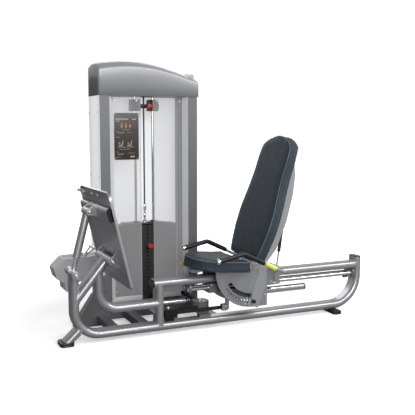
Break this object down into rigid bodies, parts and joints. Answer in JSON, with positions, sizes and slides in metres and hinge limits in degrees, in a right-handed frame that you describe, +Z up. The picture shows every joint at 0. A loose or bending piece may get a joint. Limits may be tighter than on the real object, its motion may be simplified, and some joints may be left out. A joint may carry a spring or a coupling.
{
  "type": "seated leg press machine",
  "caption": "Seated leg press: padded seat and reclining back on a rail carriage, tilting footplate, and a belt-driven weight tower",
  "frame": {"origin": "on the floor, at the middle of the footprint's box", "axes": "+X along the rail from the footplate to the rear post, +Y from the rail to the weight tower, +Z up"},
  "size_m": [2.168, 0.96, 1.748],
  "materials": {
    "frame_paint": "silver metallic powder coat, satin",
    "tower_paint": "grey metallic powder coat, satin",
    "cap_shell": "moulded light grey, fine texture",
    "clear_panel": "smoked acrylic, gloss",
    "side_panel": "light translucent sheet, satin",
    "chrome": "polished hard chrome",
    "plated_steel": "zinc plated, satin",
    "black_plastic": "moulded black, fine texture",
    "rubber": "black rubber, matte",
    "upholstery": "slate blue-grey vinyl, fine grain",
    "back_silver": "light silver powder coat, satin",
    "weight_iron": "black paint over cast iron",
    "add_on_iron": "grey paint over cast iron",
    "belt": "coated flat belt, matte",
    "placard_sheet": "printed plastic sheet, satin",
    "red_knob": "moulded red plastic, gloss",
    "yellow_grip": "moulded pale yellow plastic",
    "tray_plastic": "moulded grey, satin"
  },
  "bodies": {
    "frame": {"frame_loop": "frame_paint", "upper_rail": "frame_paint", "front_post": "frame_paint", "support_tube": "frame_paint", "footplate_brace": "frame_paint", "pivot_shafts": "plated_steel", "rubber_feet": "rubber", "tube_end_caps": "black_plastic", "travel_stops": "plated_steel", "guide_rods": "chrome", "brackets": "tower_paint", "turn_pulley_box": "black_plastic", "corner_pulley_cover": "tower_paint", "fixed_belt": "belt", "tower_base": "tower_paint", "tower_frame": "tower_paint", "tower_cap": "cap_shell", "front_shrouds": "clear_panel", "tower_panels": "side_panel", "placard": "placard_sheet", "tower_left_foot": "tower_paint", "cross_beams": "tower_paint", "tray_housing": "tray_plastic", "stack_guide_rods": "chrome", "stack_cushions": "rubber", "resting_plates": "weight_iron"},
    "carriage": {"carriage_block": "tower_paint", "rod_bearings": "plated_steel", "start_tube": "chrome", "belt_clamp": "plated_steel", "pull_strand": "belt"},
    "seat": {"seat_frame": "frame_paint", "index_strip": "plated_steel", "seat_pad": "upholstery", "handle_bars": "chrome", "handle_grips": "rubber"},
    "recline_release": {"recline_release": "yellow_grip"},
    "start_lever": {"start_lever": "yellow_grip"},
    "back": {"back_frame": "back_silver", "back_pad": "upholstery"},
    "recline_pin": {"recline_pin": "black_plastic"},
    "gas_rod": {"gas_spring_rod": "chrome"},
    "gas_cylinder": {"gas_spring_cylinder": "black_plastic"},
    "footplate": {"footplate": "frame_paint", "crossbar_caps": "black_plastic", "foot_mat": "rubber"},
    "plate_release": {"plate_release": "yellow_grip"},
    "tilt_rod": {"tilt_rod": "chrome"},
    "tilt_sleeve": {"tilt_sleeve": "frame_paint"},
    "tilt_lock_lever": {"tilt_lock_lever": "plated_steel"},
    "stack": {"lifted_plates": "weight_iron", "selector_stem": "chrome", "lift_strand": "belt"},
    "selector_pin": {"selector_pin": "red_knob"},
    "add_on_weight": {"add_on_weight": "add_on_iron"},
    "turn_pulley": {"turn_pulley": "black_plastic"},
    "corner_pulley": {"corner_pulley": "black_plastic"},
    "base_pulley": {"base_pulley": "black_plastic"},
    "top_pulley_right": {"top_pulley_right": "black_plastic"},
    "top_pulley_left": {"top_pulley_left": "black_plastic"}
  },
  "joints": [
    {"name": "press", "type": "slide", "parent": "frame", "child": "carriage", "axis": [1, 0, 0], "range_m": [0, 0.38]},
    {"name": "stack_lift", "type": "slide", "parent": "frame", "child": "stack", "axis": [0, 0, 1], "range_m": [0, 0.38], "deforming": ["lift_strand"]},
    {"name": "turn_spin", "type": "hinge", "parent": "frame", "child": "turn_pulley", "pos_m": [-0.378, -0.152, 0.126], "axis": [0, 0, 1], "range_deg": [-10, 800]},
    {"name": "corner_spin", "type": "hinge", "parent": "frame", "child": "corner_pulley", "pos_m": [-0.13, -0.088, 0.126], "axis": [0, 0, 1], "range_deg": [-620, 10]},
    {"name": "base_spin", "type": "hinge", "parent": "frame", "child": "base_pulley", "pos_m": [-0.094, 0.314, 0.162], "axis": [1, 0, 0], "range_deg": [-620, 10]},
    {"name": "top_right_spin", "type": "hinge", "parent": "frame", "child": "top_pulley_right", "pos_m": [-0.139, 0.35, 1.57], "axis": [0, 1, 0], "range_deg": [-10, 500]},
    {"name": "top_left_spin", "type": "hinge", "parent": "frame", "child": "top_pulley_left", "pos_m": [-0.31, 0.35, 1.57], "axis": [0, 1, 0], "range_deg": [-10, 500]},
    {"name": "seat_start", "type": "slide", "parent": "carriage", "child": "seat", "axis": [1, 0, 0], "range_m": [0, 0.2]},
    {"name": "start_lever_lift", "type": "hinge", "parent": "seat", "child": "start_lever", "pos_m": [-0.118, 0.031, 0.385], "axis": [0, 1, 0], "range_deg": [-12, 0]},
    {"name": "recline", "type": "hinge", "parent": "seat", "child": "back", "pos_m": [0.158, -0.16, 0.39], "axis": [0, 1, 0], "range_deg": [0, 22]},
    {"name": "release_turn", "type": "hinge", "parent": "seat", "child": "recline_release", "pos_m": [0.16933, -0.436, 0.44705], "axis": [0.9008, 0, -0.4343], "range_deg": [0, 20]},
    {"name": "recline_pin_pull", "type": "slide", "parent": "back", "child": "recline_pin", "axis": [0, -1, 0], "range_m": [0, 0.012]},
    {"name": "gas_rod_swing", "type": "hinge", "parent": "seat", "child": "gas_rod", "pos_m": [0.35, -0.24, 0.267], "axis": [0, 1, 0], "range_deg": [0, 22]},
    {"name": "gas_stroke", "type": "slide", "parent": "gas_rod", "child": "gas_cylinder", "axis": [0.1421, 0, 0.9898], "range_m": [-0.1, 0]},
    {"name": "footplate_tilt", "type": "hinge", "parent": "frame", "child": "footplate", "pos_m": [-0.785, -0.16, 0.511], "axis": [0, 1, 0], "range_deg": [-8, 8]},
    {"name": "link_swing", "type": "hinge", "parent": "frame", "child": "tilt_rod", "pos_m": [-0.992, -0.16, 0.436], "axis": [0, 1, 0], "range_deg": [-6, 6]},
    {"name": "link_stroke", "type": "slide", "parent": "tilt_rod", "child": "tilt_sleeve", "axis": [0.2524, 0, 0.9676], "range_m": [-0.03, 0.03]},
    {"name": "lock_turn", "type": "hinge", "parent": "tilt_sleeve", "child": "tilt_lock_lever", "pos_m": [-0.91773, -0.16, 0.53837], "axis": [0, 1, 0], "range_deg": [0, 15]},
    {"name": "release_pull", "type": "slide", "parent": "footplate", "child": "plate_release", "axis": [0, 1, 0], "range_m": [0, 0.012]},
    {"name": "selector_pull", "type": "slide", "parent": "stack", "child": "selector_pin", "axis": [0, -1, 0], "range_m": [0, 0.085]},
    {"name": "add_on_drop", "type": "slide", "parent": "frame", "child": "add_on_weight", "axis": [0, 0, -1], "range_m": [0, 0.36]}
  ],
  "couplings": [
    {"joint": "stack_lift", "follows": "press", "ratio": 1},
    {"joint": "turn_spin", "follows": "press", "rad_per_m": 35.714},
    {"joint": "corner_spin", "follows": "press", "rad_per_m": -27.778},
    {"joint": "base_spin", "follows": "press", "rad_per_m": -27.778},
    {"joint": "top_right_spin", "follows": "press", "rad_per_m": 22.222},
    {"joint": "top_left_spin", "follows": "press", "rad_per_m": 22.222},
    {"joint": "gas_rod_swing", "follows": "recline", "ratio": 0.82},
    {"joint": "gas_stroke", "follows": "recline", "m_per_rad": -0.216},
    {"joint": "recline_pin_pull", "follows": "release_turn", "m_per_rad": 0.034},
    {"joint": "link_swing", "follows": "footplate_tilt", "ratio": 0.67},
    {"joint": "link_stroke", "follows": "footplate_tilt", "m_per_rad": 0.1815}
  ]
}
